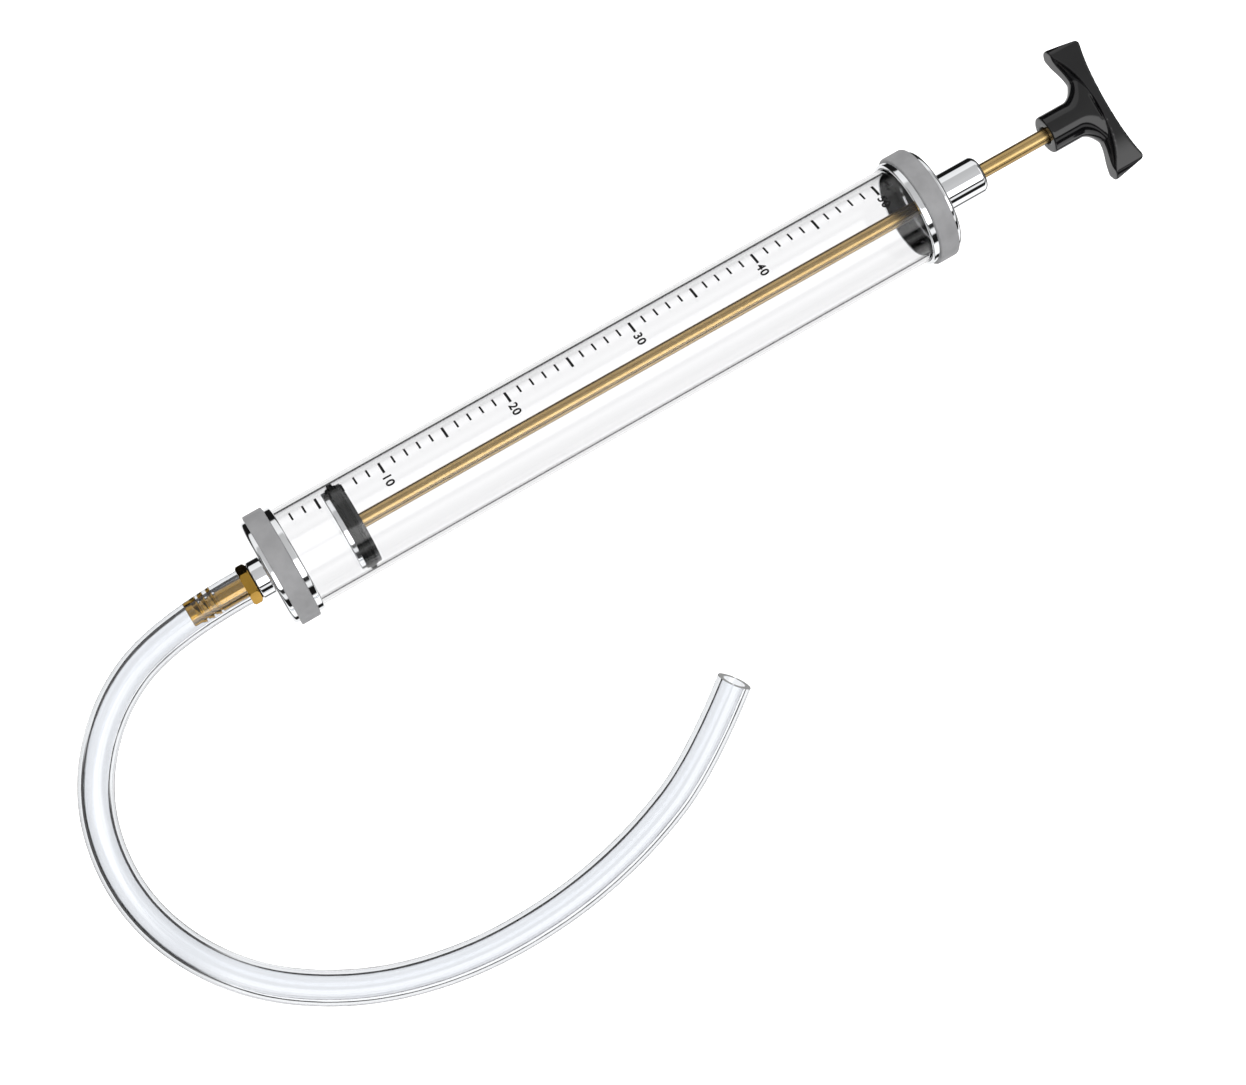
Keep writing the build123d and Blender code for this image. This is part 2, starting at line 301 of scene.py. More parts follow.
black_gloss = make_plastic("black_gloss_plastic", (0.002, 0.002, 0.0023), (0.07, 0.12),
                           1.50, 120.0, 0.002 * MM)
black_plate = make_plastic("black_plate_plastic", (0.008, 0.008, 0.009), (0.20, 0.32),
                           1.45, 400.0, 0.008 * MM)
rubber = make_plastic("black_rubber", (0.006, 0.006, 0.006), (0.60, 0.80),
                      1.15, 900.0, 0.015 * MM)
bush_plastic = make_plastic("bush_plastic", (0.62, 0.60, 0.54), (0.38, 0.52),
                            1.48, 500.0, 0.010 * MM)
ink = make_plastic("scale_ink", (0.006, 0.006, 0.0065), (0.55, 0.70),
                   1.22, 1500.0, 0.002 * MM)
print("made five plastics")


# %% [markdown]
# ## Clear finishes
# Clear plastic bends light, so the barrel is a closed wall with a true thickness. Acrylic's
# real index is 1.49; 1.38 is used here for looks, because it takes a third off the tube's
# sheen, which greys the black seal behind it. Lamp light and soft bounced light would need
# many samples to get through, so for those rays alone the shader is plainly transparent.

# %% Clear materials
let_through = 0.97    # share of lamp light and soft light that each clear surface passes


def make_clear(name, tint, ior, rough, stretch, depth, coords="Object"):
    mat, tree, shader = start_material(name)
    set_shader(shader, Base_Color=(*tint, 1), IOR=ior, Transmission_Weight=1.0)
    noise = stretched_noise(tree, stretch, 1.0, 2.0, coords)
    drive_range(tree, noise.outputs["Fac"], *rough, shader.inputs["Roughness"])
    drive_bump(tree, noise.outputs["Fac"], shader, depth)
    rays = add_node(tree, "ShaderNodeLightPath").outputs
    soft = maths(tree, "MAXIMUM", rays["Is Shadow Ray"], rays["Is Diffuse Ray"])
    clear = add_node(tree, "ShaderNodeBsdfTransparent", Color=(*[let_through] * 3, 1))
    surface = either_shader(tree, soft, shader.outputs[0], clear.outputs[0])
    tree.links.new(surface, tree.nodes["Material Output"].inputs["Surface"])
    return mat


acrylic = make_clear("clear_acrylic", (0.985, 0.985, 0.99), 1.38, (0.0, 0.012),
                     (3, 90, 90), 0.003 * MM)
hose_clear = make_clear("clear_hose", (0.915, 0.93, 0.955), 1.53, (0.0, 0.02),
                        (6, 40, 1), 0.016 * MM, "UV")
print("made", acrylic.name, "and", hose_clear.name)


# %% [markdown]
# ## The hose
# A hose has a fixed length and a stiffness of its own, so it can't be bent to any line.
# Here it leaves the connector level, swings round in one wide loop, and comes down to
# the table. The line is a smooth spline through a few control points, the same ones
# that the CAD model uses, and the hollow wall is then built ring by ring along it.

# %% Hose line
hose_r = 8.5 * MM
hose_bore_r = 5.5 * MM
rest_z = hose_r / MM
barb_x0 = span("hose_barb")[0]
hose_x0 = -221.875
hose_points = [
    (hose_x0, 0, 28.2), (-264.0, 0, 28.2), (-305.0, -18.5, 24.5),
    (-333.5, -56.0, 15.0), (-338.0, -106.5, rest_z), (-314.5, -154.0, rest_z),
    (-271.5, -186.0, rest_z), (-221.5, -201.5, rest_z), (-169.0, -203.0, rest_z),
    (-120.5, -194.0, rest_z), (-77.5, -176.5, rest_z), (-45.5, -151.0, 14.0),
]


def smooth_line(points, steps):
    """Points read from a NURBS curve that has these control points, in metres."""
    curve = bpy.data.curves.new("hose_line", "CURVE")
    curve.dimensions = "3D"
    spline = curve.splines.new("NURBS")
    spline.points.add(len(points) - 1)
    for point, place in zip(spline.points, points):
        point.co = (*(c * MM for c in place), 1)
    spline.order_u = 3
    spline.use_endpoint_u = True
    spline.resolution_u = steps
    holder = new_object("hose_line", curve)
    bpy.context.view_layer.update()
    mesh = bpy.data.meshes.new_from_object(holder)
    line = [v.co.copy() for v in mesh.vertices]
    bpy.data.objects.remove(holder)
    return line


hose_line = smooth_line(hose_points, 20)
hose_length = sum((b - a).length for a, b in zip(hose_line, hose_line[1:]))
print("hose line points", len(hose_line), "length mm", round(hose_length / MM, 1))


# %% Hose wall
def frames_along(line):
    """A steady pair of side directions at every point of a line."""
    frames = []
    side = Vector((0, 0, 1))
    for i, point in enumerate(line):
        before = line[max(i - 1, 0)]
        after = line[min(i + 1, len(line) - 1)]
        ahead = (after - before).normalized()
        side = (side - ahead * side.dot(ahead)).normalized()
        frames.append((point, ahead, side, ahead.cross(side)))
    return frames


slant_run = 22 * MM      # the slanted cut fades out over this length
pattern_per_metre = 10   # pattern coordinates run this far in a metre of hose
inner_row = 2            # where the bore starts in the pattern, clear of the outside


def hollow_tube(name, line, outer, inner, around, slant):
    """Closed wall along a line; the far end is cut off at a slant."""
    bm = bmesh.new()
    uv = bm.loops.layers.uv.new("UVMap")
    frames = frames_along(line)
    travelled = 0.0
    lengths = []
    rings = {outer: [], inner: []}
    total = sum((b - a).length for a, b in zip(line, line[1:]))
    for i, (point, ahead, side, other) in enumerate(frames):
        if i:
            travelled += (point - frames[i - 1][0]).length
        lengths.append(travelled)
        near_end = max(0.0, 1 - (total - travelled) / slant_run)
        for r in rings:
            ring = []
            for k in range(around):
                t = math.tau * k / around
                out = side * math.cos(t) + other * math.sin(t)
                lean = -out.z * math.tan(slant) * near_end * r
                ring.append(bm.verts.new(point + out * r + ahead * lean))
            rings[r].append(ring)

    def skin(a, b, u0, u1, v):
        for k in range(around):
            k2 = (k + 1) % around
            face = bm.faces.new((a[k], a[k2], b[k2], b[k]))
            face.smooth = True
            spots = ((u0, k), (u0, k + 1), (u1, k + 1), (u1, k))
            for loop, (u, spot) in zip(face.loops, spots):
                loop[uv].uv = (u * pattern_per_metre, v + spot / around)

    for i in range(len(line) - 1):
        skin(rings[outer][i], rings[outer][i + 1], lengths[i], lengths[i + 1], 0)
        skin(rings[inner][i + 1], rings[inner][i], lengths[i + 1], lengths[i],
             inner_row)
    skin(rings[inner][0], rings[outer][0], 0, 0, 0)
    skin(rings[outer][-1], rings[inner][-1], total, total, 0)
    bmesh.ops.recalc_face_normals(bm, faces=bm.faces)
    mesh = mesh_from(bm, name)
    mesh.set_sharp_from_angle(angle=math.radians(40))
    return new_object(name, mesh)


hose = hollow_tube("clear_hose", hose_line, hose_r, hose_bore_r, 64, math.radians(10))
hose.data.materials.append(hose_clear)
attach(hose, "barrel")
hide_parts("hose")
print("hose faces", len(hose.data.polygons))


# %% [markdown]
# ## Turned pieces
# Most of the tool is turned on a lathe, so one helper spins an outline round the barrel's
# axis. Each outline corner is rounded, as an edge is in metal: a perfectly sharp edge
# never catches the light. Extra points just beside each round keep the flats flat.

# %% Lathe helpers
round_share = 0.45       # most of an edge that the round at one of its ends may use
guard = 0.06             # mm from a round to the extra point beside it, at most
guard_share = 0.1        # and at most this share of the room for the round
axis_limit = 1e-6        # mm; a point closer than this is on the axis
weld = 0.0005 * MM       # points closer than this are one point


def round_corners(outline, steps=4):
    """Outline points (x, r, round) in mm, closed; corners become small arcs."""
    points = []
    count = len(outline)
    for i, (x, r, size) in enumerate(outline):
        here = Vector((x, r))
        before = Vector(outline[i - 1][:2])
        after = Vector(outline[(i + 1) % count][:2])
        a, b = (before - here), (after - here)
        if size <= 0:
            points.append(here)
            continue
        room = min(a.length, b.length) * round_share
        half = a.angle(b) / 2
        leg = min(size / math.tan(half), room)
        size = leg * math.tan(half)
        p, q = here + a.normalized() * leg, here + b.normalized() * leg
        centre = here + (a.normalized() + b.normalized()).normalized() * (
            size / math.sin(half))
        beside = min(guard, room * guard_share)
        points.append(p + a.normalized() * beside)
        for k in range(steps + 1):
            blend = p.lerp(q, k / steps) - centre
            points.append(centre + blend.normalized() * size)
        points.append(q + b.normalized() * beside)
    return points


def turn(bm, outline, around=192, start=0.0):
    """Spin a closed outline of (x, r) points in mm round the barrel's axis."""
    rings = []
    for x, r in outline:
        ring = []
        spots = 1 if r < axis_limit else around
        for k in range(spots):
            t = start + math.tau * k / around
            ring.append(bm.verts.new((x * MM, r * MM * math.sin(t),
                                      axis_z + r * MM * math.cos(t))))
        rings.append(ring)
    for a, b in zip(rings, rings[1:] + rings[:1]):
        for k in range(around):
            k2 = (k + 1) % around
            if len(a) == 1 and len(b) == 1:
                break
            if len(a) == 1:
                corners = (a[0], b[k], b[k2])
            elif len(b) == 1:
                corners = (a[k], b[0], a[k2])
            else:
                corners = (a[k], b[k], b[k2], a[k2])
            bm.faces.new(corners).smooth = True


def finish_piece(bm, name, material, body, replaced, sharp=32):
    """Turn a bmesh into a piece that rides on its body."""
    bmesh.ops.remove_doubles(bm, verts=bm.verts, dist=weld)
    bmesh.ops.recalc_face_normals(bm, faces=bm.faces)
    mesh = mesh_from(bm, name)
    mesh.set_sharp_from_angle(angle=math.radians(sharp))
    mesh.materials.append(material)
    obj = new_object(name, mesh)
    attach(obj, body)
    if replaced:
        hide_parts(*replaced)
    print(name, len(mesh.polygons), "faces")
    return obj


def turned_piece(name, outline, material, body, replaced, around=192):
    """A piece spun from one outline of (x, r, round) corners in mm."""
    bm = bmesh.new()
    turn(bm, round_corners(outline), around)
    return finish_piece(bm, name, material, body, replaced)


# %% [markdown]
# The barrel is a length of clear acrylic tube with its end edges just broken.

# %% Barrel tube
t0, t1 = tube_x0 / MM, tube_x1 / MM
turned_piece(
    "barrel_wall",
    [(t0, bore_r / MM, 0.4), (t1, bore_r / MM, 0.4), (t1, tube_r / MM, 0.4),
     (t0, tube_r / MM, 0.4)],
    acrylic, "barrel", ["barrel_tube"], 256)


# %% [markdown]
# The two caps share one outline: a polished disc, a seat for the grip band, a lip with
# a rounded edge and a deep socket for the tube. The front cap also carries the round
# boss of the hose connector.

# %% Caps
disc_r, lip_r, socket_r = 26.2, 26.6, 24.85
floor_depth, lip_x, cap_width = 3.6, 12.5, 15.8
disc_width = 2.7         # polished disc, from the outer face to the band
front_x = span("front_grip_band")[0] / MM - disc_width
rear_x = span("rear_grip_band")[1] / MM + disc_width
boss_x = span("front_cap")[0] / MM
boss_r, port_r = 9.4, 6.6
port_end, inlet_r = 2.0, 4.0    # how far the port goes in, and the hole beyond it


def cap_outline(face, inward, inner):
    """Cap outline from its outer face; inner is what closes it near the axis."""
    steps = [(0, disc_r, 1.5), (lip_x, disc_r, 0), (lip_x, lip_r, 0.35),
             (cap_width, lip_r, 1.3), (cap_width, socket_r, 0.3),
             (floor_depth, socket_r, 0.3)]
    return [(face + inward * x, r, size) for x, r, size in steps] + inner


turned_piece(
    "front_cap_chrome",
    cap_outline(front_x, 1, [
        (front_x + floor_depth, inlet_r, 0.2), (front_x + port_end, inlet_r, 0),
        (front_x + port_end, port_r, 0), (boss_x, port_r, 0.2), (boss_x, boss_r, 0.7),
        (front_x, boss_r, 0.5)]),
    chrome, "barrel", ["front_cap"], 256)
turned_piece(
    "rear_cap_chrome",
    cap_outline(rear_x, -1, [(rear_x - floor_depth, port_r, 0), (rear_x, port_r, 0)]),
    chrome, "barrel", ["rear_cap"], 256)


# %% [markdown]
# The grip bands are plain rings, square in section, with their edges softened.

# %% Grip bands
for name in ("front_grip_band", "rear_grip_band"):
    b0, b1 = (x / MM for x in span(name))
    band_r = radius_of(name) / MM
    turned_piece(
        name + "_satin",
        [(b0, disc_r + 0.02, 0), (b1, disc_r + 0.02, 0), (b1, band_r, 0.6),
         (b0, band_r, 0.6)],
        satin, "barrel", [name], 256)


# %% [markdown]
# The rod guide is a polished neck behind the rear cap. Its rear rim is well rounded and
# the rod comes out of a close hole in its end.

# %% Rod guide
guide_x0, guide_x1 = (x / MM for x in span("rod_guide"))
guide_r = radius_of("rod_guide") / MM
bush_seat_r, rod_hole_r, thread_r = 5.6, 3.95, 6.5
end_wall = 6.0           # metal between the bush's seat and the rear end
turned_piece(
    "rod_guide_chrome",
    [(rear_x, bush_seat_r, 0), (rear_x, guide_r, 0.3), (guide_x1, guide_r, 2.4),
     (guide_x1, rod_hole_r, 0.3), (guide_x1 - end_wall, rod_hole_r, 0),
     (guide_x1 - end_wall, bush_seat_r, 0), (guide_x0, bush_seat_r, 0),
     (guide_x0, thread_r, 0), (rear_x - 0.01, thread_r, 0)],
    chrome, "barrel", ["rod_guide"])


# %% [markdown]
# The connector is turned from hexagon bar. The barbed tail has ramped ridges with steep
# backs, so the hose slides on and can't slide off, and the collar keeps the bar's six
# flats with its corners turned away.

# %% Hose connector
barb_x = barb_x0 / MM
tip_r, groove_r, ridge_r, stem_r, passage_r = 4.8, 4.3, 5.6, 5.1, 3.0
hex_half, hex_x1 = 8.5, -217.075
spigot_r, spigot_end = 6.5, boss_x + 8.0
barb_tip_length, ridge_count, ridge_pitch = 3.4, 3, 3.8
# one ridge: x from its start, radius, round
ridge = ((0, tip_r, 0.2), (2.2, ridge_r, 0.25), (2.8, ridge_r, 0.25),
         (2.9, groove_r, 0.1), (3.7, groove_r, 0.1))


def barb_outline():
    """Tail of the connector: tip, ridges and the plain stem up to the collar."""
    points = [(barb_x, passage_r, 0.25), (barb_x, tip_r, 0.45)]
    x = barb_x + barb_tip_length
    for _ in range(ridge_count):
        points += [(x + step, r, size) for step, r, size in ridge]
        x += ridge_pitch
    return points + [(x, stem_r, 0.3), (hose_x0, stem_r, 0),
                     (hose_x0, passage_r, 0)]


def hex_collar(bm, x0, x1, half, bevel, around=144, steps=5):
    """Hexagon bar whose corners are cut by a cone at both ends."""
    flat, half_flat = math.radians(60), math.radians(30)    # angle of one flat, and half
    corner = half / math.cos(half_flat)
    stations = [x0 + bevel * k / steps for k in range(steps + 1)]
    stations += [x1 - bevel * k / steps for k in range(steps, -1, -1)]
    rings = []
    for x in stations:
        cut = corner - bevel + min(x - x0, x1 - x, bevel)
        ring = []
        for k in range(around):
            t = math.tau * k / around
            turn_in = (t + half_flat) % flat - half_flat
            r = min(half / math.cos(turn_in), cut)
            ring.append(bm.verts.new((x * MM, r * MM * math.sin(t),
                                      axis_z + r * MM * math.cos(t))))
        rings.append(ring)
    for a, b in zip(rings, rings[1:]):
        for k in range(around):
            k2 = (k + 1) % around
            bm.faces.new((a[k], b[k], b[k2], a[k2])).smooth = True
    bm.faces.new(rings[0])
    bm.faces.new(list(reversed(rings[-1])))


bm = bmesh.new()
turn(bm, round_corners(barb_outline(), 3), 128)
hex_collar(bm, hose_x0, hex_x1, hex_half, 0.9)
turn(bm, [(hex_x1, passage_r), (spigot_end, passage_r), (spigot_end, spigot_r),
          (hex_x1, spigot_r)], 96)
finish_piece(bm, "hose_barb_brass", turned_brass, "barrel", ["hose_barb"],
             sharp=24)


# %% [markdown]
# ## Plunger
# The rod is drawn brass bar. The piston is a stack: a chromed front plate, a thick
# rubber disc with a narrow wiping lip, and a thin plate behind it.

# %% Rod and piston
rod_x0, rod_x1 = (x / MM for x in span("plunger_rod"))
rod_r = radius_of("plunger_rod") / MM
shoulder = span("piston_rear_plate")[1] / MM + 0.03    # a hair of running gap
nose_r, screw_r, core_r = 3.0, 2.0, 1.0    # both ends of the core are hidden
screw_end = rod_x0 + 14
turned_piece(
    "plunger_rod_brass",
    [(rod_x0, screw_r, 0), (rod_x0, nose_r, 0), (shoulder, nose_r, 0),
     (shoulder, rod_r, 0.2), (rod_x1, rod_r, 0.6), (rod_x1, core_r, 0),
     (screw_end, core_r, 0), (screw_end, screw_r, 0)],
    rod_brass, "plunger", ["plunger_rod"], 96)

plate_x0, plate_x1 = (x / MM for x in span("piston_front_plate"))
plate_r, nose_hole_r = 20.1, 3.05
sink_r, sink_depth = 4.05, 1.9
turned_piece(
    "piston_front_chrome",
    [(plate_x0, sink_r, 0), (plate_x0, plate_r, 0.7), (plate_x1, plate_r, 0.5),
     (plate_x1, nose_hole_r, 0), (plate_x0 + sink_depth, nose_hole_r, 0)],
    chrome, "piston", ["piston_front_plate"])

seal_x0, seal_x1 = (x / MM for x in span("piston_seal"))
seal_mid = (seal_x0 + seal_x1) / 2
seal_lip_r = radius_of("piston_seal") / MM
seal_r, seal_hole_r = 20.5, 3.3
lip_half, lip_root = 1.15, 1.45    # half the lip's width at its edge and at its root
turned_piece(
    "piston_seal_rubber",
    [(seal_x0, seal_hole_r, 0), (seal_x0, seal_r, 0.9), (seal_mid - lip_root, seal_r, 0.2),
     (seal_mid - lip_half, seal_lip_r, 0.35), (seal_mid + lip_half, seal_lip_r, 0.35),
     (seal_mid + lip_root, seal_r, 0.2), (seal_x1, seal_r, 0.9),
     (seal_x1, seal_hole_r, 0)],
    rubber, "piston", ["piston_seal"])

back_x0, back_x1 = (x / MM for x in span("piston_rear_plate"))
back_r = 20.25
turned_piece(
    "piston_rear_disc",
    [(back_x0, nose_hole_r, 0), (back_x0, back_r, 0.4), (back_x1, back_r, 0.6),
     (back_x1, nose_hole_r, 0)],
    black_plate, "piston", ["piston_rear_plate"])


# %% [markdown]
# ## Handle
# The handle is one black moulding. The CAD shape is crisper than a moulding, so a copy is
# merged and remeshed in fine voxels. Its rear edge is then hollowed a little and its rear
# corners are cut round, and a second remesh with some smoothing softens every edge.

# %% Handle
voxel_size = 0.35 * MM
seam = 0.002 * MM        # points closer than this on the CAD piece are merged


def remeshed(obj, voxel, rounds):
    """Rebuild a closed mesh in voxels and ease it by some rounds of smoothing."""
    remesh = obj.modifiers.new("voxels", "REMESH")
    remesh.mode = "VOXEL"
    remesh.voxel_size = voxel
    ease = obj.modifiers.new("ease", "SMOOTH")
    ease.factor = 0.5
    ease.iterations = rounds
    bpy.context.view_layer.update()
    done = bpy.data.meshes.new_from_object(
        obj.evaluated_get(bpy.context.evaluated_depsgraph_get()))
    obj.modifiers.clear()
    done.name = obj.name
    obj.data = done


def shape_plan(obj, node, corner, hollow, depth):
    """Seen from above: hollow the rear edge a little and cut both rear corners round."""
    low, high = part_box(node)
    corner_x, corner_y = high.x - corner, high.y - corner
    for v in obj.data.vertices:
        near_rear = min(1.0, max(0.0, (v.co.x - high.x + depth) / depth))
        dip = max(0.0, 1 - (v.co.y / (high.y - corner / 2)) ** 2)
        eased = near_rear * near_rear * (3 - 2 * near_rear)
        v.co.x -= hollow * dip * eased
        dx, dy = v.co.x - corner_x, abs(v.co.y) - corner_y
        reach = math.hypot(dx, dy)
        if dx > 0 and dy > 0 and reach > corner:
            v.co.x = corner_x + dx * corner / reach
            v.co.y = math.copysign(corner_y + dy * corner / reach, v.co.y)


bm = bmesh.new()
bm.from_mesh(nodes["handle"].data)
bmesh.ops.remove_doubles(bm, verts=bm.verts, dist=seam)
handle = new_object("handle_moulding", mesh_from(bm, "handle_moulding"))
remeshed(handle, voxel_size, rounds=0)
shape_plan(handle, "handle", corner=7 * MM, hollow=1.7 * MM, depth=9 * MM)
remeshed(handle, voxel_size, rounds=16)
handle.data.materials.clear()
handle.data.materials.append(black_gloss)
for face in handle.data.polygons:
    face.use_smooth = True
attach(handle, "plunger")
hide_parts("handle")
print("handle faces", len(handle.data.polygons))


# %% [markdown]
# ## Printed scale
# The scale is screen printed on the tube: a short tick each 10 ml, a longer one each
# 50 ml, and a number at every second long tick, counted in centilitres. Ticks are the
# kind of thing Geometry Nodes do well: bars are laid out flat along a line, and one Set
# Position then wraps them round the tube, where x stays, y becomes an angle and z the
# height off the tube.

# %% Tick layout tree
bend_points = 9    # rows of points along a bar, so that it can follow the tube


def build_tick_tree():
    """Bars along a line, wrapped round the tube, with their sizes as inputs."""
    tree = bpy.data.node_groups.new("scale_ticks", "GeometryNodeTree")
    face = tree.interface
    face.new_socket("Geometry", in_out="OUTPUT", socket_type="NodeSocketGeometry")
    for name, kind in (("Ticks", "Int"), ("Long Every", "Int"), ("Pitch", "Float"),
                       ("First X", "Float"), ("Tube Radius", "Float"),
                       ("Axis Height", "Float"), ("Top Angle", "Float"),
                       ("Short Length", "Float"), ("Long Length", "Float"),
                       ("Short Width", "Float"), ("Long Width", "Float"),
                       ("Film", "Float")):
        face.new_socket(name, in_out="INPUT", socket_type="NodeSocket" + kind)
    face.new_socket("Ink", in_out="INPUT", socket_type="NodeSocketMaterial")
    n, link = tree.nodes, tree.links.new
    given = n.new("NodeGroupInput").outputs
    out = n.new("NodeGroupOutput")

    def vector(x, y, z):
        node = n.new("ShaderNodeCombineXYZ")
        feed(tree, node.inputs, (x, y, z))
        return node.outputs[0]

    line = n.new("GeometryNodeMeshLine")
    link(given["Ticks"], line.inputs["Count"])
    link(vector(given["First X"], 0, 0), line.inputs["Start Location"])
    link(vector(given["Pitch"], 0, 0), line.inputs["Offset"])
    index = n.new("GeometryNodeInputIndex").outputs[0]
    place_in_five = maths(tree, "MODULO", index, given["Long Every"])
    is_short = maths(tree, "GREATER_THAN", place_in_five, 0.5)
    is_long = maths(tree, "SUBTRACT", 1.0, is_short)
    join = n.new("GeometryNodeJoinGeometry")
    for chosen, length, width in ((is_short, "Short Length", "Short Width"),
                                  (is_long, "Long Length", "Long Width")):
        bar = n.new("GeometryNodeMeshCube")
        link(vector(given[width], given[length], given["Film"]), bar.inputs["Size"])
        bar.inputs["Vertices Y"].default_value = bend_points
        move = n.new("GeometryNodeTransform")
        half = maths(tree, "MULTIPLY", given[length], -0.5)
        link(bar.outputs["Mesh"], move.inputs["Geometry"])
        link(vector(0, half, 0), move.inputs["Translation"])
        place = n.new("GeometryNodeInstanceOnPoints")
        link(line.outputs["Mesh"], place.inputs["Points"])
        link(chosen, place.inputs["Selection"])
        link(move.outputs["Geometry"], place.inputs["Instance"])
        link(place.outputs["Instances"], join.inputs["Geometry"])
    real = n.new("GeometryNodeRealizeInstances")
    link(join.outputs["Geometry"], real.inputs["Geometry"])
    spot = n.new("ShaderNodeSeparateXYZ")
    link(n.new("GeometryNodeInputPosition").outputs[0], spot.inputs[0])
    turned_by = maths(tree, "DIVIDE", spot.outputs["Y"], given["Tube Radius"])
    angle = maths(tree, "ADD", given["Top Angle"], turned_by)
    reach = maths(tree, "ADD", given["Tube Radius"], spot.outputs["Z"])
    sideways = maths(tree, "MULTIPLY", reach, maths(tree, "SINE", angle))
    upward = maths(tree, "MULTIPLY", reach, maths(tree, "COSINE", angle))
    height = maths(tree, "ADD", given["Axis Height"], upward)
    wrap = n.new("GeometryNodeSetPosition")
    link(real.outputs["Geometry"], wrap.inputs["Geometry"])
    link(vector(spot.outputs["X"], sideways, height), wrap.inputs["Position"])
    paint = n.new("GeometryNodeSetMaterial")
    link(wrap.outputs["Geometry"], paint.inputs["Geometry"])
    link(given["Ink"], paint.inputs["Material"])
    link(paint.outputs["Geometry"], out.inputs["Geometry"])
    return tree


tick_tree = build_tick_tree()
print("tick tree nodes", len(tick_tree.nodes))


# %% [markdown]
# The bore sets the spacing: 10 ml of brine fills 6.606 mm of a 43.9 mm bore. The scale
# starts at the zero mark, which lies under the front cap, and ticks that a cap would
# cover are left off.

# %% Ticks
pitch = 6.606 * MM
long_tick_x = -174.975 * MM
ticks_per_long, tick_count = 5, 52
first_x = long_tick_x - ticks_per_long * pitch
film, film_lift = 0.03 * MM, 0.035 * MM    # thickness of the ink, and its middle's height
top_angle = math.radians(47.1)
holder = new_object("scale_ticks", bpy.data.meshes.new("scale_ticks"))
maker = holder.modifiers.new("ticks", "NODES")
maker.node_group = tick_tree
wanted = {
    "Ticks": tick_count, "Long Every": ticks_per_long, "Pitch": pitch,
    "First X": first_x, "Tube Radius": tube_r + film_lift, "Axis Height": axis_z,
    "Top Angle": top_angle, "Short Length": 5.05 * MM, "Long Length": 7.05 * MM,
    "Short Width": 0.95 * MM, "Long Width": 1.25 * MM, "Film": film, "Ink": ink,
}
for item in tick_tree.interface.items_tree:
    if item.in_out == "INPUT":
        maker[item.identifier] = wanted[item.name]
bpy.context.view_layer.update()
tick_mesh = bpy.data.meshes.new_from_object(
    holder.evaluated_get(bpy.context.evaluated_depsgraph_get()))
holder.modifiers.clear()
holder.data = tick_mesh
print("tick faces", len(tick_mesh.polygons))


# %% [markdown]
# Ticks that lie under the lip of a cap are removed, and the numbers are set in type,
# turned into meshes, cut into narrow strips so they can bend, and wrapped the same way.
# They stand upright when the barrel is held hose end down.

# %% Numbers
strip = 0.4                              # mm, width of the strips
letter_space, letter_weight = 1.12, 0.03
number_lift = 0.05 * MM                  # off the tube


def wrap_point(x, along, lift):
    """A spot on the tube: along is the arc length from the ticks' top, in metres."""
    angle = top_angle - along / tube_r
    r = tube_r + lift
    return Vector((x, r * math.sin(angle), axis_z + r * math.cos(angle)))


def number_mesh(text, height):
    """Flat type with its centre at the origin, sliced into narrow strips."""
    words = bpy.data.curves.new("number", "FONT")
    words.body = text
    words.align_x = "CENTER"
    words.space_character = letter_space
    words.offset = letter_weight
    obj = new_object("number", words)
    bpy.context.view_layer.update()
    mesh = bpy.data.meshes.new_from_object(obj)
    bpy.data.objects.remove(obj)
    bm = bmesh.new()
    bm.from_mesh(mesh)
    ys = [v.co.y for v in bm.verts]
    grow = height / (max(ys) - min(ys))
    middle = Vector((0, (max(ys) + min(ys)) / 2, 0))
    for v in bm.verts:
        v.co = (v.co - middle) * grow
    reach = max(abs(v.co.x) for v in bm.verts)
    cuts = int(reach / (strip * MM))
    for k in range(-cuts, cuts + 1):
        bmesh.ops.bisect_plane(
            bm, geom=bm.verts[:] + bm.edges[:] + bm.faces[:],
            plane_co=(k * strip * MM, 0, 0), plane_no=(1, 0, 0))
    return bm


def print_number(bm_all, text, x, along, height):
    """Wrap one number on the tube and add it to the scale."""
    bm = number_mesh(text, height)
    for v in bm.verts:
        v.co = wrap_point(x + v.co.y, along + v.co.x, number_lift)
    bm_all.from_mesh(mesh_from(bm, "number"))


bm = bmesh.new()
bm.from_mesh(tick_mesh)
lip_front = (front_x + cap_width) * MM
lip_rear = (rear_x - cap_width) * MM
gone = [v for v in bm.verts if not lip_front < v.co.x < lip_rear]
bmesh.ops.delete(bm, geom=gone, context="VERTS")
label_along, label_height = 11.3 * MM, 4.4 * MM
for centilitres in (10, 20, 30, 40, 50):
    label_x = first_x + centilitres * pitch
    print_number(bm, str(centilitres), label_x, label_along, label_height)
finish_piece(bm, "printed_scale", ink, "barrel", [])
bpy.data.objects.remove(holder)


# %% [markdown]
# ## Finishes on the pieces that stay as CAD
# Gaskets, bumper, bush, washer, screw and insert are mostly hidden. They keep their CAD
# shape and only get a finish.

# %% Finishes on CAD pieces
for node, material in (("front_gasket", rubber), ("rear_gasket", rubber),
                       ("rear_bumper", rubber), ("port_washer", rubber),
                       ("rod_bush", bush_plastic), ("piston_screw", chrome),
                       ("handle_insert", turned_brass)):
    nodes[node].data.materials.clear()
    nodes[node].data.materials.append(material)
    print(node, "->", material.name)


# %% [markdown]
# ## Floor
# The floor is a plain pale sheet, large enough to fill every view. It is lit a little
# over white. Mirrors and clear pieces look at the studio panels instead of the sheet.

# %% Floor
floor_half, floor_z = 4.0, -0.0003    # metres


